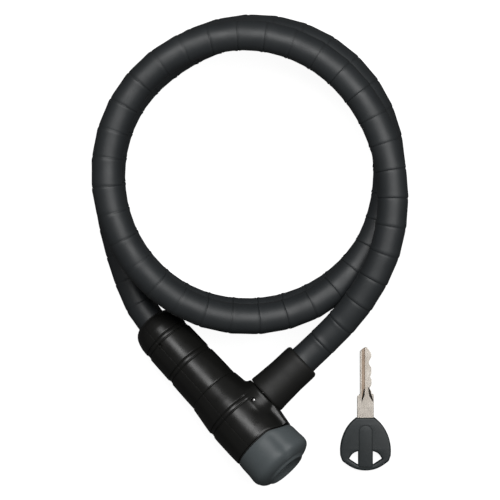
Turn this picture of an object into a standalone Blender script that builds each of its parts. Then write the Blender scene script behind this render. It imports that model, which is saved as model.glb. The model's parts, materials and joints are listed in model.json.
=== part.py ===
"""Key-operated armoured cable lock, lying closed as a coil of three strands, with its key beside it.

World frame: +Z up, the surface it lies on at z = 0, origin under the middle of the whole set.
Three local frames carry the rigid pieces:
  lock_axis   origin at the cable end of the lock body, Z along the body towards the keyhole,
              X along the locking stud (outwards), Y the upward normal of both
  stud_axis   origin where the stud's axis meets the body's axis, Z outwards along the stud
  key_plane   origin at the lowest point of the key's bow, Y towards the tip, Z up
All dimensions are in millimetres and are multiplied by MM where a mesh is made.
"""

import math

import bmesh
import bpy
import numpy as np
from mathutils import Matrix, Vector

MM = 0.001
GAP = 0.3

# ---------------------------------------------------------------- driving dimensions
RING_CENTRE = (0.0, 39.5)
CABLE_RADIUS = 7.5
SLEEVE_WALL = 1.2
ARMOUR_RADIUS = 5.9
ARMOUR_WALL = 1.2
ROPE_RADIUS = 4.3
TUBE_STEP = 30.0
TUBE_RESOLUTION = 4
PATH_SAMPLES = 12

LOCK_END = (-49.8, -76.7, 11.2)
LOCK_HEADING = -46.9
LOCK_TILT = 14.5
STUD_STATION = 67.8

# Hand-laid cable route round the ring centre: (angle in degrees, radius, height), clockwise.
CABLE_ROUTE = [
    (231.2, 88.4, 9.2), (224.4, 84.3, 8.1), (206.0, 75.7, 7.6), (180.0, 72.2, 7.6),
    (150.0, 71.2, 7.6), (120.0, 71.6, 7.6), (90.0, 72.6, 7.6), (60.0, 73.0, 7.6),
    (30.0, 72.2, 7.6), (0.0, 71.1, 7.6), (-30.0, 70.7, 7.8), (-60.0, 71.1, 9.6),
    (-90.0, 71.5, 13.3), (-120.0, 71.6, 18.6), (-150.0, 71.0, 22.4),
    (-180.0, 70.6, 23.0), (-210.0, 70.2, 23.0), (-240.0, 70.2, 23.0), (-270.0, 70.9, 23.0),
    (-300.0, 71.3, 23.0), (-330.0, 70.8, 23.0), (-360.0, 70.2, 23.0), (-390.0, 70.8, 23.2),
    (-420.0, 73.0, 25.0), (-450.0, 74.2, 28.7), (-480.0, 74.0, 34.0), (-510.0, 72.2, 37.8),
    (-540.0, 71.3, 38.4), (-570.0, 70.7, 38.4), (-600.0, 69.5, 38.4), (-630.0, 68.0, 38.4),
    (-660.0, 66.7, 38.4), (-690.0, 67.0, 38.4), (-718.0, 70.0, 38.4), (-737.0, 74.0, 38.3),
    (-752.0, 78.6, 37.5), (-764.0, 82.4, 35.6), (-774.0, 86.4, 32.8), (-783.4, 91.0, 29.6),
]

# Lock body, stations along its axis from the cable end.
COVER_END = 84.0
COVER_OUTSIDE = [
    (15.85, 84.0), (16.05, 79.0), (16.05, 69.0), (15.85, 62.5), (15.5, 59.0), (14.85, 54.4),
    (14.1, 49.0), (13.7, 48.2), (13.6, 40.0), (13.4, 29.5), (13.1, 12.5), (12.8, 7.0),
    (12.2, 4.4), (11.2, 2.0), (9.9, 0.3),
]
COVER_INSIDE = [(9.3, 0.3), (9.3, 4.2), (11.6, 11.0), (11.7, 46.0), (14.1, 56.5), (14.1, 84.0)]
SEAM_ANGLE = 110.0
ANCHOR_PIN_STATION = 34.0
CHAMBER_START = 76.2
CHAMBER_RADIUS = 10.6
CORE_START = 10.0
CORE_END = 96.8
CORE_NECK_RADIUS = 12.4

# Locking stud and its groove, along the stud's axis.
STUD_RADIUS = 5.0
STUD_BORE = 5.4
GROOVE_RADIUS = 3.25
GROOVE_HALF_WIDTH = 2.0
BUSH_RADIUS = 7.2
BOSS_END = 17.4
SLEEVE_START = 17.7
SLEEVE_END = 43.5
CABLE_END_ON_STUD = 28.3
CABLE_END_IN_LOCK = 30.7

# Cylinder, cam and bolt.
PLUG_RADIUS = 6.3
PLUG_START = 83.8
PLUG_FRONT = 97.6
WAFER_COUNT = 5
WAFER_FIRST = 86.4
WAFER_PITCH = 2.3
WAFER_THICKNESS = 0.6
CAM_PIN_THROW = 2.5
CAM_PIN_RADIUS = 1.2
BOLT_TRAVEL = 2.0 * CAM_PIN_THROW * math.sin(math.radians(45.0))
BOLT_HALF_THICKNESS = 1.5
BOLT_NOTCH_RADIUS = 3.5

# End cap and keyhole shutter.
CAP_START = 85.0
CAP_END = 103.2
CAP_CAVITY_END = 100.0
CAP_RADIUS = 15.75
CAP_KEYHOLE_RADIUS = 6.2

# Key, lying flat.
KEY_ORIGIN = (59.0, -152.1)
KEY_BOW_HEIGHT = 6.2
KEY_BLADE_LOW = 1.9
KEY_BLADE_HIGH = 4.3
KEY_HEIGHT = 63.0
KEY_BOW_HALF = [
    (0.0, 0.0), (6.7, 1.45), (11.3, 4.3), (12.75, 7.2), (12.9, 11.0), (12.2, 15.6),
    (10.4, 20.2), (7.4, 24.6), (4.6, 27.0),
]

SMOOTH_ANGLE = 35.0


# ---------------------------------------------------------------- scene and materials
def clear_scene():
    """Remove whatever objects the file starts with."""
    for item in list(bpy.data.objects):
        bpy.data.objects.remove(item, do_unlink=True)


def new_collection(name):
    group = bpy.data.collections.new(name)
    bpy.context.scene.collection.children.link(group)
    return group


def new_material(name, colour, roughness, metallic=0.0):
    material = bpy.data.materials.new(name)
    material.use_nodes = True
    shader = material.node_tree.nodes["Principled BSDF"]
    shader.inputs["Base Color"].default_value = (*colour, 1.0)
    shader.inputs["Roughness"].default_value = roughness
    shader.inputs["Metallic"].default_value = metallic
    material.diffuse_color = (*colour, 1.0)
    return material


clear_scene()
PARTS = new_collection("armoured_cable_lock")
CUTTERS = new_collection("cutters")
SLEEVE_SATIN = new_material("cable_sleeve", (0.032, 0.037, 0.040), 0.42)
BLACK_GLOSS = new_material("black_plastic", (0.008, 0.008, 0.008), 0.28)
GREY_MATT = new_material("grey_plastic", (0.066, 0.078, 0.085), 0.48)
RUBBER = new_material("black_rubber", (0.012, 0.012, 0.012), 0.75)
STEEL = new_material("plated_steel", (0.52, 0.52, 0.53), 0.34, 1.0)
HARD_STEEL = new_material("hardened_steel", (0.36, 0.37, 0.39), 0.42, 1.0)
BRASS = new_material("brass", (0.72, 0.53, 0.24), 0.33, 1.0)
NICKEL = new_material("key_nickel", (0.56, 0.53, 0.48), 0.30, 1.0)
KEY_PLASTIC = new_material("key_plastic", (0.022, 0.028, 0.030), 0.50)


# ---------------------------------------------------------------- frames
def new_frame(name, matrix):
    """An empty whose axes are a local frame."""
    empty = bpy.data.objects.new(name, None)
    PARTS.objects.link(empty)
    empty.empty_display_size = 0.02
    empty.matrix_world = matrix
    return empty


def axes_matrix(x_axis, y_axis, z_axis, origin):
    matrix = Matrix((x_axis, y_axis, z_axis)).transposed().to_4x4()
    matrix.translation = origin
    return matrix


heading = math.radians(LOCK_HEADING)
tilt = math.radians(LOCK_TILT)
BODY_AXIS = Vector((math.cos(heading) * math.cos(tilt), math.sin(heading) * math.cos(tilt), math.sin(tilt)))
STUD_AXIS = Vector((-math.sin(heading), math.cos(heading), 0.0))
BODY_NORMAL = BODY_AXIS.cross(STUD_AXIS)


def ring_point(x, y, z):
    """A point in metres from millimetres measured from the ring's centre."""
    return Vector((RING_CENTRE[0] + x, RING_CENTRE[1] + y, z)) * MM


LOCK_ORIGIN = ring_point(*LOCK_END)
STUD_ORIGIN = LOCK_ORIGIN + BODY_AXIS * (STUD_STATION * MM)
LOCK = new_frame("lock_axis", axes_matrix(STUD_AXIS, BODY_NORMAL, BODY_AXIS, LOCK_ORIGIN))
STUD = new_frame("stud_axis", axes_matrix(BODY_AXIS, -BODY_NORMAL, STUD_AXIS, STUD_ORIGIN))
KEY = new_frame("key_plane", Matrix.Translation(ring_point(KEY_ORIGIN[0], KEY_ORIGIN[1], 0.0)))


# ---------------------------------------------------------------- shape helpers
def add_object(name, mesh, frame, material=None, cutter=False):
    """Link a mesh as a visible part, or as a hidden wire cutter."""
    item = bpy.data.objects.new(name, mesh)
    (CUTTERS if cutter else PARTS).objects.link(item)
    item.parent = frame
    if material:
        mesh.materials.append(material)
    if cutter:
        item.hide_render = True
        item.display_type = "WIRE"
    return item


def turned(name, profile, frame, material=None, steps=32, ring=False, cutter=False):
    """Turn (radius, station) points about the frame's Z; they run down the outside, top to bottom."""
    mesh = bpy.data.meshes.new(name)
    points = [(radius * MM, 0.0, station * MM) for radius, station in profile]
    edges = [(i, i + 1) for i in range(len(points) - 1)]
    if ring:
        edges.append((len(points) - 1, 0))
    mesh.from_pydata(points, edges, [])
    item = add_object(name, mesh, frame, material, cutter)
    screw = item.modifiers.new("turn", "SCREW")
    screw.axis = "Z"
    screw.steps = steps
    screw.render_steps = steps
    screw.use_merge_vertices = True
    screw.merge_threshold = 0.00001
    screw.use_smooth_shade = True
    return item


def finish_mesh(bm, name):
    bmesh.ops.recalc_face_normals(bm, faces=bm.faces)
    mesh = bpy.data.meshes.new(name)
    bm.to_mesh(mesh)
    bm.free()
    mesh.shade_smooth()
    mesh.set_sharp_from_angle(angle=math.radians(SMOOTH_ANGLE))
    return mesh


def box(name, low, high, frame, material=None, cutter=False):
    """A box between two corners in the frame."""
    bm = bmesh.new()
    bmesh.ops.create_cube(bm, size=1.0)
    low, high = Vector(low) * MM, Vector(high) * MM
    size = high - low
    bmesh.ops.scale(bm, vec=size, verts=bm.verts)
    bmesh.ops.translate(bm, vec=(low + high) / 2.0, verts=bm.verts)
    return add_object(name, finish_mesh(bm, name), frame, material, cutter)


def rod(name, radius, start, end, frame, material=None, cutter=False, segments=20):
    """A round rod between two points in the frame."""
    start, end = Vector(start) * MM, Vector(end) * MM
    along = end - start
    bm = bmesh.new()
    bmesh.ops.create_cone(bm, cap_ends=True, segments=segments, radius1=radius * MM,
                          radius2=radius * MM, depth=along.length)
    turn = along.to_track_quat("Z", "Y").to_matrix().to_4x4()
    bmesh.ops.transform(bm, matrix=Matrix.Translation((start + end) / 2.0) @ turn, verts=bm.verts)
    return add_object(name, finish_mesh(bm, name), frame, material, cutter)


def boolean(item, other, operation="DIFFERENCE"):
    step = item.modifiers.new(other.name, "BOOLEAN")
    step.operation = operation
    step.solver = "EXACT"
    step.object = other


def curve_to_mesh_object(curve_object, frame, material, cutter=False):
    """Swap a curve object for a welded mesh object of the same name."""
    bpy.context.view_layer.update()
    evaluated = curve_object.evaluated_get(bpy.context.evaluated_depsgraph_get())
    raw = bpy.data.meshes.new_from_object(evaluated)
    bm = bmesh.new()
    bm.from_mesh(raw)
    bmesh.ops.remove_doubles(bm, verts=bm.verts, dist=0.00001)
    name = curve_object.name
    bpy.data.objects.remove(curve_object, do_unlink=True)
    bpy.data.meshes.remove(raw)
    return add_object(name, finish_mesh(bm, name), frame, material, cutter)


def plate(name, outline, low, high, frame, material=None, cutter=False):
    """A flat plate with the given (x, y) outline, from height low to high in the frame."""
    curve = bpy.data.curves.new(name, "CURVE")
    curve.dimensions = "2D"
    curve.fill_mode = "BOTH"
    curve.extrude = (high - low) / 2.0 * MM
    spline = curve.splines.new("POLY")
    spline.points.add(len(outline) - 1)
    for point, (x, y) in zip(spline.points, outline):
        point.co = (x * MM, y * MM, 0.0, 1.0)
    spline.use_cyclic_u = True
    flat = bpy.data.objects.new(name, curve)
    PARTS.objects.link(flat)
    item = curve_to_mesh_object(flat, frame, material, cutter)
    item.location = (0.0, 0.0, (low + high) / 2.0 * MM)
    return item


def wire(name, points, radius, material, frame=None, resolution=2):
    """A round wire or tube along a poly line of points in metres."""
    curve = bpy.data.curves.new(name, "CURVE")
    curve.dimensions = "3D"
    curve.bevel_depth = radius * MM
    curve.bevel_resolution = resolution
    curve.use_fill_caps = True
    curve.materials.append(material)
    spline = curve.splines.new("POLY")
    spline.points.add(len(points) - 1)
    for point, place in zip(spline.points, points):
        point.co = (*place, 1.0)
    item = bpy.data.objects.new(name, curve)
    PARTS.objects.link(item)
    item.parent = frame
    return item


def hollow_tube(name, points, radius, wall, material):
    """A tube with an open bore along a poly line of points in metres."""
    curve_object = wire(name, points, radius, material, resolution=TUBE_RESOLUTION)
    curve_object.data.use_fill_caps = False
    item = curve_to_mesh_object(curve_object, None, material)
    thicken = item.modifiers.new("wall", "SOLIDIFY")
    thicken.thickness = wall * MM
    thicken.offset = -1.0
    thicken.use_even_offset = True
    return item


def smooth_path(points, samples=PATH_SAMPLES):
    """Cubic spline through the points, so the bend changes evenly from one to the next."""
    place = np.array([tuple(point) for point in points])
    chord = np.linalg.norm(np.diff(place, axis=0), axis=1)
    count = len(place)
    system, right = np.eye(count), np.zeros((count, 3))
    for i in range(1, count - 1):
        system[i, i - 1:i + 2] = chord[i - 1], 2.0 * (chord[i - 1] + chord[i]), chord[i]
        right[i] = 6.0 * ((place[i + 1] - place[i]) / chord[i] - (place[i] - place[i - 1]) / chord[i - 1])
    bend = np.linalg.solve(system, right)
    path = []
    for i in range(count - 1):
        for k in range(samples):
            b = k / samples
            a = 1.0 - b
            pull = ((a ** 3 - a) * bend[i] + (b ** 3 - b) * bend[i + 1]) * chord[i] ** 2 / 6.0
            path.append(Vector(a * place[i] + b * place[i + 1] + pull))
    path.append(Vector(place[-1]))
    return path


def even_points(path, step):
    """Points at equal steps along a path, nearest to the wanted step, both ends kept."""
    lengths = [0.0]
    for a, b in zip(path, path[1:]):
        lengths.append(lengths[-1] + (b - a).length)
    count = max(2, round(lengths[-1] / step) + 1)
    result, j = [], 0
    for i in range(count):
        target = lengths[-1] * i / (count - 1)
        while j < len(path) - 2 and lengths[j + 1] < target:
            j += 1
        span = lengths[j + 1] - lengths[j]
        result.append(path[j].lerp(path[j + 1], (target - lengths[j]) / span))
    return result


# ---------------------------------------------------------------- cable side
def cable_route():
    """Route points in metres: the lock's axis, round the ring, the stud's axis."""
    route = [LOCK_ORIGIN + BODY_AXIS * (station * MM) for station in (16.0, -0.8)]
    for angle, radius, height in CABLE_ROUTE:
        turn = math.radians(angle)
        route.append(ring_point(radius * math.cos(turn), radius * math.sin(turn), height))
    route += [STUD_ORIGIN + STUD_AXIS * (reach * MM) for reach in (SLEEVE_END + 1.5, 33.0)]
    return route


def build_cable():
    """Steel rope in a flexible steel armour in a plastic sleeve, straight inside both end fittings."""
    path = smooth_path(cable_route())
    inside_lock = LOCK_ORIGIN + BODY_AXIS * (CABLE_END_IN_LOCK * MM)
    inside_crimp = STUD_ORIGIN + STUD_AXIS * (CABLE_END_ON_STUD * MM)
    loop = even_points(path[PATH_SAMPLES:len(path) - PATH_SAMPLES], TUBE_STEP * MM)
    points = [inside_lock, *loop, inside_crimp]
    hollow_tube("cable_sleeve", points, CABLE_RADIUS, SLEEVE_WALL, SLEEVE_SATIN)
    hollow_tube("cable_armour", points, ARMOUR_RADIUS, ARMOUR_WALL, HARD_STEEL)
    wire("steel_rope", points, ROPE_RADIUS, STEEL, resolution=TUBE_RESOLUTION)


def build_stud():
    turned("locking_stud", [
        (0.0, 27.5), (3.0, 27.5), (3.0, 22.2), (STUD_RADIUS, 22.2), (STUD_RADIUS, GROOVE_HALF_WIDTH),
        (GROOVE_RADIUS, GROOVE_HALF_WIDTH), (GROOVE_RADIUS, -GROOVE_HALF_WIDTH),
        (STUD_RADIUS, -GROOVE_HALF_WIDTH), (STUD_RADIUS, -5.4), (3.6, -7.2), (0.0, -7.2),
    ], STUD, STEEL, steps=24)
    turned("stud_crimp", [
        (8.7, 37.1), (8.7, 22.5), (3.3, 22.5), (3.3, 28.0), (7.8, 28.0), (7.8, 37.1),
    ], STUD, HARD_STEEL, steps=24, ring=True)


def build_ferrule_sleeve():
    turned("ferrule_sleeve", [
        (8.9, SLEEVE_END), (9.7, 42.9), (9.95, 41.6), (10.0, 32.0), (10.5, 22.0), (10.8, 18.6),
        (10.6, SLEEVE_START), (STUD_BORE, SLEEVE_START), (STUD_BORE, 21.5), (9.0, 21.5), (9.0, 37.4),
        (7.9, 37.9), (7.9, SLEEVE_END),
    ], STUD, BLACK_GLOSS, steps=32, ring=True)


# ---------------------------------------------------------------- lock body
def build_core():
    """Hardened core: anchor bore, stud bore, bolt pocket and cylinder chamber."""
    core = turned("lock_core", [
        (0.0, CORE_END), (CORE_NECK_RADIUS, CORE_END), (CORE_NECK_RADIUS, 84.0), (13.4, 84.0), (13.4, 59.0),
        (11.2, 47.0), (11.2, CORE_START), (9.3, CORE_START), (9.3, 38.0), (0.0, 38.0),
    ], LOCK, HARD_STEEL, steps=32)
    chamber = rod("cut_chamber", CHAMBER_RADIUS, (0, 0, CHAMBER_START), (0, 0, CORE_END + 3.0), LOCK,
                  cutter=True, segments=32)
    stud_bore = rod("cut_stud_bore", STUD_BORE, (-8.0, 0, STUD_STATION), (20.0, 0, STUD_STATION), LOCK,
                    cutter=True, segments=24)
    bush_bore = rod("cut_bush_bore", BUSH_RADIUS + GAP, (9.2, 0, STUD_STATION), (20.0, 0, STUD_STATION),
                    LOCK, cutter=True, segments=24)
    pocket = box("cut_bolt_pocket", (-1.8, -10.9, 62.0), (1.8, 0.2, CHAMBER_START + 1.0), LOCK, cutter=True)
    pin_bore = rod("cut_anchor_pin", 2.1, (0, -16.0, ANCHOR_PIN_STATION), (0, 16.0, ANCHOR_PIN_STATION),
                   LOCK, cutter=True, segments=16)
    roll_bore = rod("cut_cylinder_pin", 1.3, (-16.0, 0, 90.0), (-5.0, 0, 90.0), LOCK, cutter=True,
                    segments=12)
    for cutter in (chamber, stud_bore, bush_bore, pocket, pin_bore, roll_bore):
        boolean(core, cutter)
    return pin_bore, roll_bore


def cover_profile():
    return COVER_OUTSIDE + COVER_INSIDE


def build_covers():
    """Two moulded half shells, parted on a plane through the body's axis."""
    boss = turned("cut_boss", [
        (11.3, BOSS_END), (11.9, 16.2), (12.8, 14.6), (13.6, 12.0), (BUSH_RADIUS + GAP, 12.0),
        (BUSH_RADIUS + GAP, BOSS_END),
    ], STUD, steps=32, ring=True, cutter=True)
    hollow = rod("cut_boss_hollow", 14.1, (0, 0, 50.0), (0, 0, COVER_END + 1.0), LOCK, cutter=True,
                 segments=32)
    boolean(boss, hollow)
    mouth = rod("cut_boss_mouth", BUSH_RADIUS + GAP, (8.0, 0, STUD_STATION), (20.0, 0, STUD_STATION),
                LOCK, cutter=True, segments=24)
    pin_hole = rod("cut_bush_pin", 1.15, (12.0, 4.0, STUD_STATION), (12.0, 14.0, STUD_STATION), LOCK,
                   cutter=True, segments=12)
    seam = math.radians(SEAM_ANGLE)
    for name, side in (("cover_stud_side", 1.0), ("cover_far_side", -1.0)):
        cover = turned(name, cover_profile(), LOCK, BLACK_GLOSS, steps=40, ring=True)
        away = box("cut_" + name, (-40.0, -40.0, -10.0), (GAP / 2.0, 40.0, 110.0), LOCK, cutter=True)
        away.rotation_euler = (0.0, 0.0, seam - math.pi / 2.0 + (0.0 if side > 0 else math.pi))
        boolean(cover, away)
        if side > 0:
            boolean(cover, boss, "UNION")
            boolean(cover, mouth)
            boolean(cover, pin_hole)
    return pin_hole


def build_anchor(pin_bore):
    """The cable's swaged end, its cross pin and the rubber collar at the lock's mouth."""
    anchor = turned("cable_anchor", [
        (0.0, 37.6), (9.0, 37.6), (9.0, 15.0), (7.8, 15.0), (7.8, 31.0), (0.0, 31.0),
    ], LOCK, HARD_STEEL, steps=24)
    boolean(anchor, pin_bore)
    rod("anchor_pin", 1.8, (0, -10.9, ANCHOR_PIN_STATION), (0, 10.9, ANCHOR_PIN_STATION), LOCK, STEEL,
        segments=16)
    turned("cable_collar", [
        (9.0, 9.6), (9.0, 0.0), (8.2, 0.0), (8.2, 9.6),
    ], LOCK, RUBBER, steps=24, ring=True)


def build_socket(pin_hole):
    bush = turned("socket_bush", [
        (BUSH_RADIUS, 17.1), (BUSH_RADIUS, 9.5), (STUD_BORE, 9.5), (STUD_BORE, 17.1),
    ], STUD, HARD_STEEL, steps=24, ring=True)
    boolean(bush, pin_hole)
    rod("bush_pin", 0.85, (12.0, 5.8, STUD_STATION), (12.0, 10.6, STUD_STATION), LOCK, STEEL, segments=12)


def build_bolt():
    """Horseshoe bolt: its notch closes on the stud's groove, its tail holds the cam pin's slot."""
    thick = BOLT_HALF_THICKNESS
    bolt = box("locking_bolt", (-thick, -10.1, 62.6), (thick, -4.0, 79.5), LOCK, HARD_STEEL)
    tail = box("cut_bolt_tail", (-3.5, -6.5, 76.5), (5.6, 1.3, 79.5), LOCK, cutter=True)
    notch = rod("cut_bolt_notch", BOLT_NOTCH_RADIUS, (-4.0, -BOLT_TRAVEL, STUD_STATION),
                (4.0, -BOLT_TRAVEL, STUD_STATION), LOCK, cutter=True, segments=24)
    throw = BOLT_TRAVEL / 2.0
    reach = CAM_PIN_RADIUS + GAP
    slot = box("cut_bolt_slot", (throw - reach, -throw - reach, 76.0),
               (CAM_PIN_THROW + reach, -throw + reach, 80.0), LOCK, cutter=True)
    boolean(bolt, tail, "UNION")
    boolean(bolt, notch)
    boolean(bolt, slot)


def build_cylinder(roll_bore):
    shell = turned("cylinder_shell", [
        (10.2, 96.8), (10.2, 83.1), (6.6, 83.1), (6.6, 96.8),
    ], LOCK, BRASS, steps=28, ring=True)
    boolean(shell, roll_bore)
    rod("cylinder_pin", 1.0, (-12.2, 0, 90.0), (-6.9, 0, 90.0), LOCK, STEEL, segments=12)


def build_plug():
    """Plug with its key slot and wafer slots, wafers, cam with eccentric pin, and spring clip."""
    plug = turned("lock_plug", [
        (0.0, PLUG_FRONT), (5.9, PLUG_FRONT), (PLUG_RADIUS, 97.1), (PLUG_RADIUS, PLUG_START),
        (3.0, PLUG_START), (3.0, 81.5), (0.0, 81.5),
    ], LOCK, BRASS, steps=28)
    keyway = box("cut_keyway", (-3.6, -1.35, 85.2), (3.6, 1.35, 99.0), LOCK, cutter=True)
    boolean(plug, keyway)
    window = box("cut_wafer_windows", (-3.9, -1.5, 80.0), (3.9, 1.5, 99.0), LOCK, cutter=True)
    half = WAFER_THICKNESS / 2.0
    for i in range(WAFER_COUNT):
        station = WAFER_FIRST + WAFER_PITCH * i
        slot = box(f"cut_wafer_slot_{i + 1}", (-8.0, -2.6, station - half - GAP),
                   (8.0, 2.6, station + half + GAP), LOCK, cutter=True)
        boolean(plug, slot)
        wafer = box(f"wafer_{i + 1}", (-5.6, -2.3, station - half), (5.6, 2.3, station + half), LOCK, BRASS)
        boolean(wafer, window)
    throw = BOLT_TRAVEL / 2.0
    cam = turned("lock_cam", [
        (0.0, 81.2), (3.3, 81.2), (3.3, 82.8), (6.5, 82.8), (6.5, 79.8), (0.0, 79.8),
    ], LOCK, STEEL, steps=24)
    pin = rod("cut_cam_pin", CAM_PIN_RADIUS, (throw, -throw, 76.9), (throw, -throw, 80.4), LOCK, cutter=True,
              segments=16)
    boolean(cam, pin, "UNION")
    clip = turned("plug_clip", [(5.4, 83.5), (5.4, 83.1), (3.3, 83.1), (3.3, 83.5)], LOCK, STEEL, steps=24,
                  ring=True)
    split = box("cut_clip_split", (-0.8, 0.5, 82.0), (0.8, 8.0, 84.5), LOCK, cutter=True)
    boolean(clip, split)


def build_cap():
    """Grey end cap with its dished keyhole, the seal behind it, and the sprung shutter inside."""
    turned("end_cap", [
        (9.8, CAP_END), (12.8, 102.3), (14.6, 100.6), (15.5, 98.2), (CAP_RADIUS, 92.0),
        (CAP_RADIUS, CAP_START), (12.7, CAP_START), (12.7, CAP_CAVITY_END),
        (CAP_KEYHOLE_RADIUS, CAP_CAVITY_END), (CAP_KEYHOLE_RADIUS, 101.4), (8.0, CAP_END),
    ], LOCK, GREY_MATT, steps=40, ring=True)
    turned("cap_seal", [
        (15.3, 84.7), (15.3, 84.3), (12.8, 84.3), (12.8, 84.7),
    ], LOCK, RUBBER, steps=28, ring=True)
    box("keyhole_shutter", (-5.0, -3.2, 98.3), (5.0, 4.2, 99.5), LOCK, STEEL)
    turns, per_turn, low, high, radius = 5, 8, 4.9, 12.0, 0.75
    points = []
    for i in range(turns * per_turn + 1):
        turn = 2.0 * math.pi * i / per_turn
        rise = low + (high - low) * i / (turns * per_turn)
        points.append(Vector((radius * math.cos(turn), rise, 98.9 + radius * math.sin(turn))) * MM)
    wire("shutter_spring", points, 0.22, STEEL, LOCK)


# ---------------------------------------------------------------- key
def key_bow_outline():
    """Closed outline of the bow from its half, mirrored, rounded by a smooth curve."""
    half = [Vector((x, y, 0.0)) for x, y in KEY_BOW_HALF]
    left = [Vector((-point.x, point.y, 0.0)) for point in reversed(half[1:])]
    path = smooth_path(left + half, samples=3)
    return [(point.x, point.y) for point in path]


def key_blade_outline():
    """Blade and stem outline: plain left edge, bitted right edge, blunt point."""
    left, right, shoulder, stem = -2.8, 3.0, 39.3, 4.25
    cuts = [(3.0, 41.0), (2.0, 42.6), (3.0, 44.2), (3.0, 47.0), (2.4, 48.0), (2.5, 53.6), (1.6, 55.0),
            (1.6, 56.6), (2.9, 58.2), (right, 59.6)]
    tip = [(0.6, KEY_HEIGHT), (-0.5, KEY_HEIGHT), (left, 60.8)]
    return [(-stem, 9.6), (stem, 9.6), (stem, shoulder), (right, shoulder), *cuts, *tip,
            (left, shoulder), (-stem, shoulder)]


def build_key():
    bow = plate("key_bow", key_bow_outline(), 0.0, KEY_BOW_HEIGHT, KEY, KEY_PLASTIC)
    sleeve = box("cut_key_sleeve", (-4.55, 9.3, KEY_BLADE_LOW - GAP), (4.55, 40.0, KEY_BLADE_HIGH + GAP), KEY,
                 cutter=True)
    recess = box("cut_key_recess", (-3.8, 2.6, 5.2), (3.8, 23.6, 8.0), KEY, cutter=True)
    boolean(bow, sleeve)
    boolean(bow, recess)
    for name, side in (("cut_key_hole_left", -1.0), ("cut_key_hole_right", 1.0)):
        corners = [(4.6 * side, 10.2), (8.3 * side, 6.4), (4.6 * side, 3.4)]
        hole = plate(name, corners, -2.0, 9.0, KEY, cutter=True)
        boolean(bow, hole)
    box("key_inlay", (-3.5, 2.9, 5.5), (3.5, 23.3, 6.5), KEY, KEY_PLASTIC)
    blade = plate("key_blade", key_blade_outline(), KEY_BLADE_LOW, KEY_BLADE_HIGH, KEY, NICKEL)
    groove = box("cut_key_groove", (-1.9, 36.5, 3.6), (-0.3, 61.0, 6.0), KEY, cutter=True)
    boolean(blade, groove)


def main():
    build_cable()
    build_stud()
    build_ferrule_sleeve()
    pin_bore, roll_bore = build_core()
    pin_hole = build_covers()
    build_anchor(pin_bore)
    build_socket(pin_hole)
    build_bolt()
    build_cylinder(roll_bore)
    build_plug()
    build_cap()
    build_key()
    bpy.context.view_layer.update()


main()
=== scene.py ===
"""Looks of the armoured cable lock and its key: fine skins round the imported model, materials, light, camera.

Lengths are in millimetres and are multiplied by MM where points are made. Three local frames carry them:
LOCK (Z along the lock body from its cable end, X along the locking stud, Y the upward normal), STUD (Z out
along the stud, X along the body) and KEY (origin at the lowest point of the key's bow, Y towards its tip).
"""

import json
import math

import bmesh
import bpy
import numpy as np
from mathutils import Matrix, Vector


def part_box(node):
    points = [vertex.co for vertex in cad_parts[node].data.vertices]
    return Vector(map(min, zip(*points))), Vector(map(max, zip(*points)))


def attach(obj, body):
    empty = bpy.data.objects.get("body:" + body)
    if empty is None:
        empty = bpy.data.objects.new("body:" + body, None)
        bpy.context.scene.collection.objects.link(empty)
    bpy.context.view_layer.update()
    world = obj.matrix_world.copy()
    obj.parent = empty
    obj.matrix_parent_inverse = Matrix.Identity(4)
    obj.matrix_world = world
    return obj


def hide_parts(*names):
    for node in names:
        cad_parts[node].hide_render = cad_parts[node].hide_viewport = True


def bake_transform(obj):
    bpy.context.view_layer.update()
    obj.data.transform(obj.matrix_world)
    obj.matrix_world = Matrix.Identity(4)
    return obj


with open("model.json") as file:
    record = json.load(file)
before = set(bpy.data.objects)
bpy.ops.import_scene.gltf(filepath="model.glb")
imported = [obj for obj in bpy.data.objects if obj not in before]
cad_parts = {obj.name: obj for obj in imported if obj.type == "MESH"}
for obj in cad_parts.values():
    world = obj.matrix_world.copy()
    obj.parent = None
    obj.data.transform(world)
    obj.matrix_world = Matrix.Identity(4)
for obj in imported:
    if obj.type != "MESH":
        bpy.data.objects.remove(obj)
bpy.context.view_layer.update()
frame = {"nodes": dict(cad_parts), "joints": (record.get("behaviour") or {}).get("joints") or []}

MM = 0.001

# ---------------------------------------------------------------- frames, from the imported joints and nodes
STUD_STATION = 67.8
JOINTS = {joint["name"]: joint for joint in frame["joints"]}
BODY_AXIS = np.array(JOINTS["plug_turn"]["axis"])
STUD_AXIS = -np.array(JOINTS["lock_release"]["axis"])
BODY_NORMAL = np.cross(BODY_AXIS, STUD_AXIS)
LOCK_ORIGIN = np.array(JOINTS["plug_turn"]["pos_m"])
STUD_ORIGIN = LOCK_ORIGIN + BODY_AXIS * STUD_STATION * MM
KEY_LOW, KEY_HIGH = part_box("key_bow")
KEY_ORIGIN = np.array(((KEY_LOW.x + KEY_HIGH.x) / 2.0, KEY_LOW.y, 0.0))

LOCK = (LOCK_ORIGIN, np.array((STUD_AXIS, BODY_NORMAL, BODY_AXIS)))
STUD = (STUD_ORIGIN, np.array((BODY_AXIS, -BODY_NORMAL, STUD_AXIS)))
KEY = (KEY_ORIGIN, np.eye(3))

# ---------------------------------------------------------------- cable
RING_CENTRE = (0.0, 39.5)
CABLE_RADIUS = 7.6
CABLE_END_IN_LOCK = 30.7
CABLE_END_ON_STUD = 28.3
SLEEVE_START = 17.7
SLEEVE_END = 43.5
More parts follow.
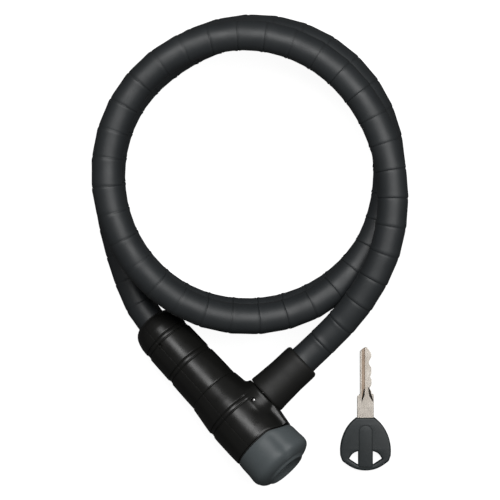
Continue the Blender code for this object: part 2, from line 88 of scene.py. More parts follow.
# The route that part.py lays: angle in degrees, radius and height round the ring's centre, clockwise, and
# how much further out the cable lies there, so that the turns show beside each other as they do in reality.
CABLE_ROUTE = [
    (231.2, 88.4, 9.2, -0.2), (224.4, 84.3, 8.1, -0.4), (206.0, 75.7, 7.6, -0.1), (180.0, 72.2, 7.6, 0.1),
    (150.0, 71.2, 7.6, 0.2), (120.0, 71.6, 7.6, 0.1), (90.0, 72.6, 7.6, 0.5), (60.0, 73.0, 7.6, 0.7),
    (30.0, 72.2, 7.6, 0.7), (0.0, 71.1, 7.6, 0.6), (-30.0, 70.7, 7.8, 1.0), (-60.0, 71.1, 9.6, 0.5),
    (-90.0, 71.5, 13.3, 0.3), (-120.0, 71.6, 18.6, 1.0), (-150.0, 71.0, 22.4, 1.0),
    (-180.0, 70.6, 23.0, 0.2), (-210.0, 70.2, 23.0, -0.5), (-240.0, 70.2, 23.0, -1.8),
    (-270.0, 70.9, 23.0, -0.1), (-300.0, 71.3, 23.0, 0.2), (-330.0, 70.8, 23.0, 0.1),
    (-360.0, 70.2, 23.0, -0.2), (-390.0, 70.8, 23.2, 0.4), (-420.0, 73.0, 25.0, 0.6),
    (-450.0, 74.2, 28.7, 0.3), (-480.0, 74.0, 34.0, 0.2), (-510.0, 72.2, 37.8, 0.5),
    (-540.0, 71.3, 38.4, 0.6), (-570.0, 70.7, 38.4, 0.5), (-600.0, 69.5, 38.4, 0.3),
    (-630.0, 68.0, 38.4, 0.1), (-660.0, 66.7, 38.4, 0.1), (-690.0, 67.0, 38.4, -0.1),
    (-718.0, 70.0, 38.4, 0.3), (-737.0, 74.0, 38.3, 0.5), (-752.0, 78.6, 37.5, 0.5),
    (-764.0, 82.4, 35.6, 0.5), (-774.0, 86.4, 32.8, 0.4), (-783.4, 91.0, 29.6, 0.1),
]
SHELL_PITCH = 14.0
TAIL_SHELLS = 8
CABLE_SIDES = 40
RINGS_PER_SHELL = 14
# How the sleeve follows each shell: wider before a seam, narrower after it, pinched at it, and swollen on the
# inside of a bend.
SHELL_FLARE = 0.12
SHELL_TAPER = 0.05
SEAM_PINCH = 0.19
FOLD_SWELL = 0.34

# ---------------------------------------------------------------- lock body
COVER_START = 0.3
COVER_END = 84.0
COVER_OUTSIDE = [
    (9.9, 0.3), (10.6, 1.0), (11.4, 2.2), (12.2, 4.4), (12.8, 7.0), (13.1, 12.5), (13.4, 29.5), (13.7, 40.0),
    (14.1, 48.4), (14.85, 54.4), (15.5, 59.0), (15.85, 62.5), (16.05, 69.0), (16.05, 79.0), (15.85, 84.0),
]
COVER_INSIDE = [(9.3, 0.3), (9.3, 4.2), (11.6, 11.0), (11.7, 46.0), (14.1, 56.5), (14.1, 84.0)]
TWIN_GROOVES = (12.5, 29.6, 64.4)
TWIN_SPACING = 2.4
TWIN_WIDTH = 0.36
STEP_STATION = 48.3
STEP_HEIGHT = 0.32
NOTCH_STATION = 14.6
NOTCH_RADIUS = 13.1
NOTCH_DEPTH = 1.1
SEAM_ANGLE = 110.0
SEAM_GAP = 0.05
SEAM_RADIUS = 15.0
BOSS_END = 17.4
BOSS_RADIUS = 11.1
GUSSET_HALF_WIDTH = 7.4
BUSH_RADIUS = 7.2
PIN_ALONG_STUD = 12.0

# ---------------------------------------------------------------- end cap
CAP_START = 85.0
CAP_JOINT_RUN = 2.6
SCOOP_ANGLE = 64.0
SCOOP_SPACING = 120.0
SCOOP_HALF_WIDTH = 9.5
SHUTTER_STATION = 98.9

SHARP_ANGLE = math.radians(38.0)
NO_STRETCH = (1.0, 1.0, 1.0)

# ---------------------------------------------------------------- stage
# The camera sees white paper; the object sees it much darker, as in a picture cut out against white.
FLOOR_WHITE = (0.30, 0.30, 0.30)
FLOOR_BOUNCE = (0.08, 0.08, 0.08)
FLOOR_GLOW = 0.94
WORLD_LIGHT = 0.10
# Each light's name, place, diameter and power.
SOFTBOXES = [("overhead", (0.42, 0.30, 1.2), 0.95, 7.6), ("overhead_left", (-0.24, 0.50, 1.1), 0.5, 4.2)]
CAMERA_HEIGHT = 1.6
CAMERA_LENS = 224.9


# ---------------------------------------------------------------- points and meshes
def placed(points, local):
    """World points in metres from local points in millimetres."""
    origin, axes = local
    return origin + np.asarray(points, float) @ axes * MM


def grid_quads(rows, columns, wrap_rows=False, wrap_columns=False):
    """Quads between neighbouring points of a rows x columns grid."""
    r = np.arange(rows if wrap_rows else rows - 1)[:, None]
    c = np.arange(columns if wrap_columns else columns - 1)[None, :]
    below, right = (r + 1) % rows, (c + 1) % columns
    quads = np.stack([r * columns + c, r * columns + right, below * columns + right, below * columns + c], -1)
    return quads.reshape(-1, 4).tolist()


def piece_from(name, points, faces, material, sharp=SHARP_ANGLE):
    """A closed mesh object with its faces turned outwards and its round parts shaded smooth."""
    mesh = bpy.data.meshes.new(name)
    mesh.from_pydata(np.asarray(points).reshape(-1, 3).tolist(), [], faces)
    bm = bmesh.new()
    bm.from_mesh(mesh)
    bmesh.ops.remove_doubles(bm, verts=bm.verts, dist=0.000002)
    bmesh.ops.dissolve_degenerate(bm, edges=bm.edges, dist=0.000001)
    bmesh.ops.recalc_face_normals(bm, faces=bm.faces)
    bm.to_mesh(mesh)
    bm.free()
    mesh.shade_smooth()
    mesh.set_sharp_from_angle(angle=sharp)
    item = bpy.data.objects.new(name, mesh)
    bpy.context.scene.collection.objects.link(item)
    if material:
        mesh.materials.append(material)
    return item


def rounded(profile, radius, steps=4, closed=True):
    """The profile again, with each corner turned into a short curve."""
    points = [np.array(p, float) for p in profile]
    result = []
    for i, corner in enumerate(points):
        if not closed and i in (0, len(points) - 1):
            result.append(corner)
            continue
        before, after = points[i - 1] - corner, points[(i + 1) % len(points)] - corner
        cut = min(radius, 0.45 * np.linalg.norm(before), 0.45 * np.linalg.norm(after))
        start = corner + before / np.linalg.norm(before) * cut
        end = corner + after / np.linalg.norm(after) * cut
        for k in range(steps + 1):
            t = k / steps
            result.append(start * (1 - t) ** 2 + corner * 2 * t * (1 - t) + end * t ** 2)
    return result


def turned(name, profile, local, material, sides=72, closed=True):
    """A turned piece from (radius, station) points about the frame's Z."""
    turn = np.linspace(0.0, 2.0 * np.pi, sides, endpoint=False)
    points = [[(r * math.cos(a), r * math.sin(a), s) for a in turn] for r, s in profile]
    faces = grid_quads(len(profile), sides, wrap_rows=closed, wrap_columns=True)
    return piece_from(name, placed(points, local), faces, material)


def sided(name, outer, inner, material):
    """A closed shell between an outer and an inner grid of points, joined along their rims."""
    rows, columns = outer.shape[:2]
    count = rows * columns
    quads = grid_quads(rows, columns)
    faces = quads + [[count + i for i in reversed(quad)] for quad in quads]
    rim = [(0, c) for c in range(columns)] + [(r, columns - 1) for r in range(1, rows)]
    rim += [(rows - 1, c) for c in range(columns - 2, -1, -1)] + [(r, 0) for r in range(rows - 2, 0, -1)]
    edge = [r * columns + c for r, c in rim]
    for a, b in zip(edge, edge[1:] + edge[:1]):
        faces.append([a, b, count + b, count + a])
    return piece_from(name, np.concatenate([outer.reshape(-1, 3), inner.reshape(-1, 3)]), faces, material)


def cut(item, cutters, sharp=SHARP_ANGLE):
    """Cut item by other meshes one after another, apply the result and remove the cutters."""
    for cutter in cutters:
        step = item.modifiers.new(cutter.name, "BOOLEAN")
        step.operation = "DIFFERENCE"
        step.solver = "EXACT"
        step.object = cutter
        bpy.context.view_layer.update()
        item.data = bpy.data.meshes.new_from_object(item.evaluated_get(bpy.context.evaluated_depsgraph_get()))
        item.modifiers.clear()
        bpy.data.objects.remove(cutter, do_unlink=True)
    item.data.shade_smooth()
    item.data.set_sharp_from_angle(angle=sharp)


def plate(name, outlines, low, high, local, material, edge=0.0, edge_steps=3):
    """A flat plate with rounded edges from height low to high; outlines after the first are holes."""
    curve = bpy.data.curves.new(name, "CURVE")
    curve.dimensions = "2D"
    curve.fill_mode = "BOTH"
    curve.extrude = ((high - low) / 2.0 - edge) * MM
    curve.bevel_depth = edge * MM
    curve.bevel_resolution = edge_steps
    curve.offset = -edge * MM
    for outline in outlines:
        spline = curve.splines.new("POLY")
        spline.points.add(len(outline) - 1)
        for point, (x, y) in zip(spline.points, outline):
            point.co = (x * MM, y * MM, 0.0, 1.0)
        spline.use_cyclic_u = True
    flat = bpy.data.objects.new(name + "_outline", curve)
    bpy.context.scene.collection.objects.link(flat)
    bpy.context.view_layer.update()
    raw = bpy.data.meshes.new_from_object(flat.evaluated_get(bpy.context.evaluated_depsgraph_get()))
    points = np.array([v.co for v in raw.vertices]) / MM + (0.0, 0.0, (low + high) / 2.0)
    faces = [list(p.vertices) for p in raw.polygons]
    bpy.data.objects.remove(flat, do_unlink=True)
    bpy.data.meshes.remove(raw)
    return piece_from(name, placed(points, local), faces, material)


def smooth_path(points, samples=40):
    """Cubic spline through the points, so the bend changes evenly from one to the next."""
    place = np.array(points, float)
    chord = np.linalg.norm(np.diff(place, axis=0), axis=1)
    count = len(place)
    system, right = np.eye(count), np.zeros((count, place.shape[1]))
    for i in range(1, count - 1):
        system[i, i - 1:i + 2] = chord[i - 1], 2.0 * (chord[i - 1] + chord[i]), chord[i]
        right[i] = 6.0 * ((place[i + 1] - place[i]) / chord[i] - (place[i] - place[i - 1]) / chord[i - 1])
    bend = np.linalg.solve(system, right)
    path = []
    for i in range(count - 1):
        for k in range(samples):
            b = k / samples
            a = 1.0 - b
            pull = ((a ** 3 - a) * bend[i] + (b ** 3 - b) * bend[i + 1]) * chord[i] ** 2 / 6.0
            path.append(a * place[i] + b * place[i + 1] + pull)
    path.append(place[-1])
    return np.array(path)


# ---------------------------------------------------------------- materials
class Nodes:
    """Short calls for building one node material."""

    def __init__(self, name):
        self.material = bpy.data.materials.new(name)
        self.material.use_nodes = True
        self.tree = self.material.node_tree
        self.shader = self.tree.nodes["Principled BSDF"]
        self.place = self.tree.nodes.new("ShaderNodeTexCoord").outputs["Object"]

    def link(self, output, target):
        """Join an output socket to an input socket."""
        self.tree.links.new(output, target)

    def set(self, **values):
        """Constant values straight on the shader's sockets."""
        for name, value in values.items():
            self.shader.inputs[name.replace("_", " ")].default_value = value

    def noise(self, scale, detail=2.0, stretch=NO_STRETCH):
        """Noise that stays with the object, finer along the axes with a larger stretch."""
        source = self.place
        if stretch != NO_STRETCH:
            mapping = self.tree.nodes.new("ShaderNodeMapping")
            mapping.inputs["Scale"].default_value = stretch
            self.link(source, mapping.inputs["Vector"])
            source = mapping.outputs["Vector"]
        node = self.tree.nodes.new("ShaderNodeTexNoise")
        node.inputs["Scale"].default_value = scale
        node.inputs["Detail"].default_value = detail
        self.link(source, node.inputs["Vector"])
        return node.outputs["Fac"]

    def spread(self, value, low, high, from_low=0.3, from_high=0.7):
        """A value in from_low..from_high turned into low..high."""
        node = self.tree.nodes.new("ShaderNodeMapRange")
        node.inputs["From Min"].default_value = from_low
        node.inputs["From Max"].default_value = from_high
        node.inputs["To Min"].default_value = low
        node.inputs["To Max"].default_value = high
        self.link(value, node.inputs["Value"])
        return node.outputs["Result"]

    def colours(self, factor, first, second):
        """A mix of two fixed colours."""
        node = self.tree.nodes.new("ShaderNodeMix")
        node.data_type = "RGBA"
        node.inputs["A"].default_value = (*first, 1.0)
        node.inputs["B"].default_value = (*second, 1.0)
        self.link(factor, node.inputs["Factor"])
        return node.outputs["Result"]

    def tint(self, colour, factor, second):
        """A colour from another node mixed with a fixed one."""
        node = self.tree.nodes.new("ShaderNodeMix")
        node.data_type = "RGBA"
        self.link(colour, node.inputs["A"])
        node.inputs["B"].default_value = (*second, 1.0)
        self.link(factor, node.inputs["Factor"])
        return node.outputs["Result"]

    def attribute(self, name):
        """A value stored on the mesh's points."""
        node = self.tree.nodes.new("ShaderNodeAttribute")
        node.attribute_name = name
        return node.outputs["Fac"]

    def bump(self, height, distance, under=None):
        """Relief of the given depth in millimetres, on top of other relief where there is some."""
        node = self.tree.nodes.new("ShaderNodeBump")
        node.inputs["Distance"].default_value = distance * MM
        self.link(height, node.inputs["Height"])
        if under is not None:
            self.link(under, node.inputs["Normal"])
        return node.outputs["Normal"]


def moulded(name, colour, roughness, grain, grain_depth, variation=0.18):
    """Moulded plastic or rubber: soft colour drift, rough and smooth patches, fine grain."""
    nodes = Nodes(name)
    drift = nodes.noise(45.0, 3.0)
    dark = tuple(c * (1.0 - variation) for c in colour)
    light = tuple(c * (1.0 + variation) for c in colour)
    base = nodes.colours(nodes.spread(drift, 0.0, 1.0), dark, light)
    nodes.link(base, nodes.shader.inputs["Base Color"])
    nodes.link(nodes.spread(nodes.noise(160.0, 4.0), roughness - 0.04, roughness + 0.05),
               nodes.shader.inputs["Roughness"])
    coarse = nodes.bump(nodes.noise(grain * 0.2, 2.0), grain_depth * 2.0)
    nodes.link(nodes.bump(nodes.noise(grain, 3.0), grain_depth, under=coarse), nodes.shader.inputs["Normal"])
    nodes.set(IOR=1.47)
    return nodes.material


def sleeve_plastic():
    """Satin sleeve drawn over the steel shells: faint blue-grey, darker at the seams, fine grain."""
    nodes = Nodes("cable_sleeve")
    drift = nodes.noise(38.0, 4.0)
    base = nodes.colours(nodes.spread(drift, 0.0, 1.0), (0.021, 0.0245, 0.027), (0.028, 0.0325, 0.0355))
    seam = nodes.spread(nodes.attribute("seam"), 0.0, 0.55, 0.0, 1.0)
    base = nodes.tint(base, seam, (0.017, 0.0195, 0.0215))
    nodes.link(base, nodes.shader.inputs["Base Color"])
    nodes.link(nodes.spread(nodes.noise(120.0, 5.0), 0.47, 0.55), nodes.shader.inputs["Roughness"])
    wide = nodes.bump(nodes.noise(90.0, 2.0), 0.05)
    fine = nodes.bump(nodes.noise(3500.0, 3.0), 0.012, under=wide)
    nodes.link(fine, nodes.shader.inputs["Normal"])
    nodes.set(IOR=1.5, Specular_IOR_Level=0.72)
    return nodes.material


def metal(name, colour, roughness, stretch=NO_STRETCH, scale=900.0, depth=0.006, dull=(0.72, 0.7, 0.68)):
    """Machined or plated metal with slight staining and fine relief, drawn into lines by a stretch."""
    nodes = Nodes(name)
    stain = nodes.spread(nodes.noise(140.0, 5.0), 0.0, 1.0)
    shaded = tuple(c * d for c, d in zip(colour, dull))
    nodes.link(nodes.colours(stain, shaded, colour), nodes.shader.inputs["Base Color"])
    lines = nodes.noise(scale, 4.0, stretch)
    nodes.link(nodes.spread(lines, roughness - 0.07, roughness + 0.09), nodes.shader.inputs["Roughness"])
    nodes.link(nodes.bump(lines, depth), nodes.shader.inputs["Normal"])
    nodes.set(Metallic=1.0)
    return nodes.material


SLEEVE_SATIN = sleeve_plastic()
BLACK_GLOSS = moulded("black_plastic", (0.0100, 0.0100, 0.0092), 0.30, 1500.0, 0.002)
FERRULE_SATIN = moulded("ferrule_plastic", (0.0115, 0.0115, 0.0108), 0.55, 1800.0, 0.008)
GREY_MATT = moulded("grey_plastic", (0.104, 0.121, 0.127), 0.46, 2600.0, 0.010, variation=0.06)
RUBBER = moulded("black_rubber", (0.012, 0.012, 0.012), 0.72, 1200.0, 0.02)
KEY_PLASTIC = moulded("key_plastic", (0.020, 0.026, 0.028), 0.40, 2400.0, 0.012, variation=0.12)
KEY_INLAY = moulded("key_inlay", (0.024, 0.030, 0.032), 0.44, 2600.0, 0.014, variation=0.12)
# The plated steel shutter gets dark grey plastic: painted shade inside the keyhole.
SHUTTER_PAINTED_SHADE = moulded("shutter_painted_shade", (0.020, 0.023, 0.025), 0.40, 2000.0, 0.006)
STEEL = metal("plated_steel", (0.62, 0.62, 0.63), 0.28)
HARD_STEEL = metal("hardened_steel", (0.36, 0.37, 0.39), 0.42)
BRASS = metal("brass", (0.72, 0.53, 0.24), 0.33, dull=(0.8, 0.75, 0.65))
NICKEL = metal("key_nickel", (0.66, 0.61, 0.55), 0.30, stretch=(6.0, 0.5, 1.0), scale=500.0, depth=0.004)
# The groove's faces: a brown tone of the cut metal, darkened further as painted shade in the groove.
GROOVE_TONE_AND_SHADE_METAL = metal("key_groove_brown_and_painted_shade", (0.40, 0.31, 0.24), 0.36, stretch=(6.0, 0.5, 1.0), scale=500.0,
                     depth=0.004)
# Near-black metal on the run-outs at the feet of the groove and the flat: painted shade in these recesses.
FOOT_PAINTED_SHADE_METAL = metal("key_foot_painted_shade", (0.05, 0.045, 0.04), 0.5)


def ride(item, body, slot, *nodes):
    """Give a piece its body and hide the nodes whose place it takes. The slot argument is not used."""
    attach(item, body)
    if nodes:
        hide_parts(*nodes)
    return item


# ---------------------------------------------------------------- cable
def cable_line():
    """The cable's centreline in metres: from inside the lock, round the ring, into the stud's crimp."""
    route = [LOCK_ORIGIN + BODY_AXIS * station * MM for station in (16.0, -0.8)]
    for angle, radius, height, further in CABLE_ROUTE:
        turn, reach = math.radians(angle), radius + further
        x, y = RING_CENTRE[0] + reach * math.cos(turn), RING_CENTRE[1] + reach * math.sin(turn)
        route.append(np.array((x, y, height)) * MM)
    route += [STUD_ORIGIN + STUD_AXIS * reach * MM for reach in (SLEEVE_END + 1.5, 33.0)]
    samples = 40
    path = smooth_path(route, samples)[samples:-samples]
    start = LOCK_ORIGIN + BODY_AXIS * CABLE_END_IN_LOCK * MM
    end = STUD_ORIGIN + STUD_AXIS * CABLE_END_ON_STUD * MM
    return np.vstack([start, path, end])


def along(line):
    """Distance from the line's start to each of its points."""
    return np.concatenate([[0.0], np.cumsum(np.linalg.norm(np.diff(line, axis=0), axis=1))])


def at(line, distance, wanted):
    """Points of the line at the wanted distances."""
    return np.stack([np.interp(wanted, distance, line[:, k]) for k in range(3)], axis=-1)


def across(centres):
    """Two directions across the line at each of its points, carried along without twisting."""
    tangent = np.gradient(centres, axis=0)
    tangent /= np.linalg.norm(tangent, axis=1)[:, None]
    side = np.cross(tangent[0], (0.0, 0.0, 1.0))
    sides = []
    for direction in tangent:
        side = side - direction * (side @ direction)
        side = side / np.linalg.norm(side)
        sides.append(side)
    sides = np.array(sides)
    return sides, np.cross(tangent, sides)


def tube(name, line, radius, sides, material):
    """A closed tube round a line."""
    side, up = across(line)
    turn = np.linspace(0.0, 2.0 * np.pi, sides, endpoint=False)[None, :, None]
    rings = line[:, None, :] + (side[:, None, :] * np.cos(turn) + up[:, None, :] * np.sin(turn)) * radius
    faces = grid_quads(len(line), sides, wrap_columns=True)
    faces += [list(range(sides)), list(range((len(line) - 1) * sides, len(line) * sides))]
    return piece_from(name, rings, faces, material)


def build_cable():
    """The sleeve over its row of steel shells: straight within a shell, bending at each seam."""
    line = cable_line()
    distance = along(line)
    count = round(distance[-1] / (SHELL_PITCH * MM))
    seams = np.linspace(0.0, distance[-1], count + 1)
    knots = at(line, distance, seams)
    pitch = seams[1]
    steps = 0.5 - 0.5 * np.cos(np.pi * np.arange(RINGS_PER_SHELL) / RINGS_PER_SHELL)
    places = np.append((seams[:-1, None] + steps[None, :] * pitch).ravel(), seams[-1])
    offsets = np.linspace(-2.2, 2.2, 9) * MM
    shifted = [at(knots, seams, np.clip(places + shift, 0.0, seams[-1])) for shift in offsets]
    centres = np.mean(shifted, axis=0)
    ahead = at(line, distance, np.clip(places + pitch, 0.0, distance[-1]))
    behind = at(line, distance, np.clip(places - pitch, 0.0, distance[-1]))
    inward = ahead + behind - 2.0 * at(line, distance, places)
    inward /= np.linalg.norm(inward, axis=1)[:, None] + 1e-5
    side, up = across(centres)
    turn = np.linspace(0.0, 2.0 * np.pi, CABLE_SIDES, endpoint=False)
    spokes = side[:, None, :] * np.cos(turn)[None, :, None] + up[:, None, :] * np.sin(turn)[None, :, None]
    since = (places % pitch) / MM
    until = pitch / MM - since
    nearest = np.minimum(since, until)
    radius = CABLE_RADIUS + SHELL_FLARE * np.exp(-(until / 2.6) ** 2)
    radius = radius - SHELL_TAPER * np.exp(-(since / 2.0) ** 2) - SEAM_PINCH * np.exp(-(nearest / 0.42) ** 2)
    fold = np.clip((spokes * inward[:, None, :]).sum(-1), 0.0, 1.0) ** 2
    swell = FOLD_SWELL * np.exp(-((nearest - 0.9) / 1.3) ** 2)[:, None] * fold
    rings = centres[:, None, :] + spokes * (radius[:, None] + swell)[:, :, None] * MM
    seam_mark = np.exp(-(nearest / 0.5) ** 2)

    pieces = []
    split = TAIL_SHELLS * RINGS_PER_SHELL
    for name, first, last in (("cable_tail", 0, split), ("cable_sleeve_skin", split, len(places) - 1)):
        part = rings[first:last + 1]
        rows = len(part)
        faces = grid_quads(rows, CABLE_SIDES, wrap_columns=True)
        faces.append(list(range(CABLE_SIDES)))
        faces.append(list(range((rows - 1) * CABLE_SIDES, rows * CABLE_SIDES)))
        item = piece_from(name, part, faces, SLEEVE_SATIN, sharp=math.radians(70.0))
        marks = item.data.attributes.new("seam", "FLOAT", "POINT")
        marks.data.foreach_set("value", np.repeat(seam_mark[first:last + 1], CABLE_SIDES).astype(np.float32))
        pieces.append((item, centres[first:last + 1]))
    (tail, tail_line), (main, main_line) = pieces
    ride(main, "cable_side", "cable_sleeve", "cable_sleeve", "cable_armour", "steel_rope")
    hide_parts("cable_sleeve")
    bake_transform(tail)
    return main, main_line, tail, distance[-1]


# ---------------------------------------------------------------- lock body covers
def barrel_radius(station):
    """Outer radius of the body at each station, with its step but without its grooves."""
    fine = np.arange(COVER_START, COVER_END + 0.05, 0.1)
    radii = np.interp(fine, [s for _, s in COVER_OUTSIDE], [r for r, _ in COVER_OUTSIDE])
    kernel = np.hanning(25)
    kernel /= kernel.sum()
    padded = np.pad(radii, 12, mode="reflect", reflect_type="odd")
    radius = np.interp(station, fine, np.convolve(padded, kernel, "valid"))
    before_step = 1.0 / (1.0 + np.exp((station - STEP_STATION) / 0.09))
    return radius - STEP_HEIGHT * before_step * np.exp(-((station - STEP_STATION) / 6.0) ** 2)


def groove_depth(station, turn):
    """Twin rings and the step's groove, deeper at the body's sides than on its top, and the seam's notch."""
    ring = 0.5 * np.exp(-((station - STEP_STATION + 0.25) / 0.32) ** 2)
    for centre in TWIN_GROOVES:
        for offset in (-TWIN_SPACING / 2.0, TWIN_SPACING / 2.0):
            ring = ring + np.exp(-((station - centre - offset) / TWIN_WIDTH) ** 2)
        ring = ring + 0.9 * np.cos(turn) ** 4 * np.exp(-((station - centre) / 0.7) ** 2)
    arc = (turn - math.radians(SEAM_ANGLE)) * NOTCH_RADIUS
    notch = np.exp(-(((station - NOTCH_STATION) / 1.0) ** 8)) * np.exp(-((arc / 1.05) ** 8))
    return ring * (0.42 + 0.40 * np.cos(turn) ** 2) + NOTCH_DEPTH * notch


def soft_min(a, b, width):
    """The smaller of two fields, with a fillet of about the given width where they meet."""
    share = np.clip(0.5 + 0.5 * (b - a) / width, 0.0, 1.0)
    return b * (1.0 - share) + a * share - width * share * (1.0 - share)


def soft_max(a, b, width):
    """The larger of two fields, blended in the same way."""
    return -soft_min(-a, -b, width)


def body_surface(station, turn):
    """Distance from the axis to the outside of barrel, boss and gusset along each direction."""
    station, turn = station[:, None], turn[None, :]
    barrel = barrel_radius(station) - groove_depth(station, turn)
    beyond = station - STUD_STATION

    def outside(reach):
        """Above zero outside the body, below zero inside it."""
        x, y = reach * np.cos(turn), reach * np.sin(turn)
        from_stud = np.hypot(beyond, y)
        flare = 0.35 * np.clip(BOSS_END - 1.2 - x, 0.0, 6.0)
        boss = soft_max(soft_max(x - BOSS_END, from_stud - BOSS_RADIUS - flare, 1.0), 2.0 - x, 1.0)
        roof = x - (BOSS_END + 0.15 - 0.18 * np.clip(beyond - 10.5, 0.0, 20.0))
        web = soft_max(np.abs(y) - GUSSET_HALF_WIDTH, -beyond, 1.0)
        gusset = soft_max(soft_max(web, roof, 1.0), 2.0 - x, 1.0)
        gap = soft_min(reach - barrel, boss, 1.8)
        return soft_min(gap, gusset, 1.4)

    widest, narrowest, step = 24.0, 11.0, 0.3
    shape = np.broadcast(station, turn).shape
    low, high = np.zeros(shape), np.full(shape, widest)
    for reach in np.arange(widest - step, narrowest, -step):
        hit = (outside(np.full(shape, reach)) <= 0.0) & (low == 0.0)
        low[hit] = reach
        high[hit] = reach + step
    for _ in range(16):
        middle = (high + low) / 2.0
        inside = outside(middle) <= 0.0
        low, high = np.where(inside, middle, low), np.where(inside, high, middle)
    return (low + high) / 2.0


def joint_shift(station, turn):
    """How far the joint with the cap runs on towards the keyhole, under the boss."""
    side = np.clip((np.cos(turn) - 0.35) / 0.55, 0.0, 1.0)
    reach = np.clip(1.0 - np.abs(station - 84.5) / 8.0, 0.0, 1.0)
    return CAP_JOINT_RUN * side ** 2 * (3.0 - 2.0 * side) * reach


def cover_stations():
    """Rows along the body, closer together at the rings, the step and the rounded end."""
    rows = [np.arange(COVER_START, COVER_END, 0.55), [COVER_END], COVER_START + np.linspace(0.0, 4.0, 16)]
    rows += [centre + np.linspace(-2.2, 2.2, 37) for centre in TWIN_GROOVES]
    rows.append(NOTCH_STATION + np.linspace(-1.3, 1.3, 21))
    rows.append(STEP_STATION + np.linspace(-1.2, 1.0, 21))
    rows = np.unique(np.round(np.concatenate(rows), 3))
    keep = [rows[0]]
    for row in rows[1:]:
        if row - keep[-1] > 0.09:
            keep.append(row)
    keep[-1] = COVER_END
    return np.array(keep)


def open_stud_side(item):
    """Cut the stud's mouth and the bush pin's hole into the cover with the boss, and set the pin's head."""
    bore, lip = BUSH_RADIUS + 0.25, BUSH_RADIUS + 0.7
    mouth = turned("mouth", [(0.0, 8.0), (bore, 8.0), (bore, 16.9), (lip, 17.5), (lip, 20.0), (0.0, 20.0)],
                   STUD, None, closed=False)
    pin = (LOCK_ORIGIN + (STUD_AXIS * PIN_ALONG_STUD + BODY_AXIS * STUD_STATION) * MM,
           np.array((BODY_AXIS, -STUD_AXIS, BODY_NORMAL)))
    hole = turned("pin_hole", [(0.0, 4.0), (1.15, 4.0), (1.15, 14.0), (0.0, 14.0)], pin, None, sides=32,
                  closed=False)
    cut(item, [mouth, hole])
    dome = rounded([(0.0, 5.8), (0.95, 5.8), (0.95, 10.9), (0.0, 11.15)], 0.35, closed=False)
    head = turned("bush_pin_head", dome, pin, STEEL, sides=32, closed=False)
    ride(head, "lock_body", "plated_steel", "bush_pin")


def build_covers():
    """Two half shells that meet at a fine seam, one of them with the boss that takes the stud."""
    stations = cover_stations()
    inside = np.interp(stations, [s for _, s in COVER_INSIDE], [r for r, _ in COVER_INSIDE])
    gap = math.degrees(SEAM_GAP / SEAM_RADIUS)
    for name, first, last, count, node in (
        ("cover_stud_side_skin", SEAM_ANGLE - 180.0 + gap, SEAM_ANGLE - gap, 200, "cover_stud_side"),
        ("cover_far_side_skin", SEAM_ANGLE + gap, SEAM_ANGLE + 180.0 - gap, 110, "cover_far_side"),
    ):
        even = np.linspace(0.0, 1.0, count)
        gathered = 0.5 - 0.5 * np.cos(np.pi * np.arange(count) / (count - 1))
        turn = np.radians(first + (last - first) * gathered * 0.25 + (last - first) * even * 0.75)
        outer = body_surface(stations, turn)
        edge = np.minimum(turn - turn[0], turn[-1] - turn) * SEAM_RADIUS
        outer = outer - 0.10 * np.exp(-(edge / 0.16) ** 2)[None, :]
        end = np.minimum(COVER_END - stations, 10.0)
        outer = outer - 0.18 * np.exp(-(end / 0.2) ** 2)[:, None]
        inner = np.repeat(inside[:, None], count, axis=1)
        grids = []
        for reach in (outer, inner):
            x, y = reach * np.cos(turn)[None, :], reach * np.sin(turn)[None, :]
            moved = stations[:, None] + joint_shift(stations[:, None], turn[None, :])
            grids.append(placed(np.stack([x, y, moved], -1), LOCK))
        item = sided(name, grids[0], grids[1], BLACK_GLOSS)
        if node == "cover_stud_side":
            open_stud_side(item)
        ride(item, "lock_body", "black_plastic", node)


# ---------------------------------------------------------------- end cap
def build_cap():
    """Grey cap: three soft scoops along its side, a rolled shoulder and a dished keyhole. Also its seal."""
    outside = smooth_path([(15.6, CAP_START), (15.85, 86.2), (16.05, 90.0), (16.15, 94.0), (16.2, 97.8),
                           (15.85, 98.9), (14.8, 100.2), (13.4, 101.2), (12.0, 101.8), (11.0, 102.2),
                           (10.3, 102.9), (9.6, 103.25), (8.9, 102.9), (8.2, 102.0), (7.3, 101.3),
                           (6.45, 100.9)], samples=7)
    inside = rounded([(6.25, 100.8), (6.2, 100.0), (12.7, 100.0), (12.7, CAP_START)], 0.15, closed=False)
    profile = list(outside) + inside
    sides = 144
    turn = np.linspace(0.0, 2.0 * np.pi, sides, endpoint=False)
    points = []
    for radius, station in profile:
        scoop = 0.0
        along_cap = station - CAP_START
        if radius > 12.75 and along_cap > 0.05:
            window = 1.0 / (1.0 + math.exp((86.5 - station) / 0.6))
            window /= 1.0 + math.exp((station - 100.8) / 0.5)
            away = np.abs((np.degrees(turn) - SCOOP_ANGLE + SCOOP_SPACING / 2.0) % SCOOP_SPACING
                          - SCOOP_SPACING / 2.0)
            scoop = window * (0.58 + 0.030 * along_cap) * np.exp(-(away / SCOOP_HALF_WIDTH) ** 2)
        flare = (0.85 + 0.025 * along_cap) * min(1.0, max(0.0, (radius - 9.5) / 5.5))
        reach = radius - scoop + flare * np.clip(np.cos(turn), 0.0, 1.0) ** 2
        moved = station + joint_shift(station, turn)
        points.append(np.stack([reach * np.cos(turn), reach * np.sin(turn), moved], -1))
    faces = grid_quads(len(profile), sides, wrap_rows=True, wrap_columns=True)
    cap = piece_from("end_cap_skin", placed(points, LOCK), faces, GREY_MATT, sharp=math.radians(50.0))
    ride(cap, "lock_body", "grey_plastic", "end_cap")
    seal = rounded([(15.35, 84.75), (15.35, 84.25), (12.8, 84.25), (12.8, 84.75)], 0.1)
    points = [np.stack([r * np.cos(turn), r * np.sin(turn), s + joint_shift(s, turn)], -1) for r, s in seal]
    faces = grid_quads(len(seal), sides, wrap_rows=True, wrap_columns=True)
    ring = piece_from("cap_seal_ring", placed(points, LOCK), faces, RUBBER)
    ride(ring, "lock_body", "black_rubber", "cap_seal")


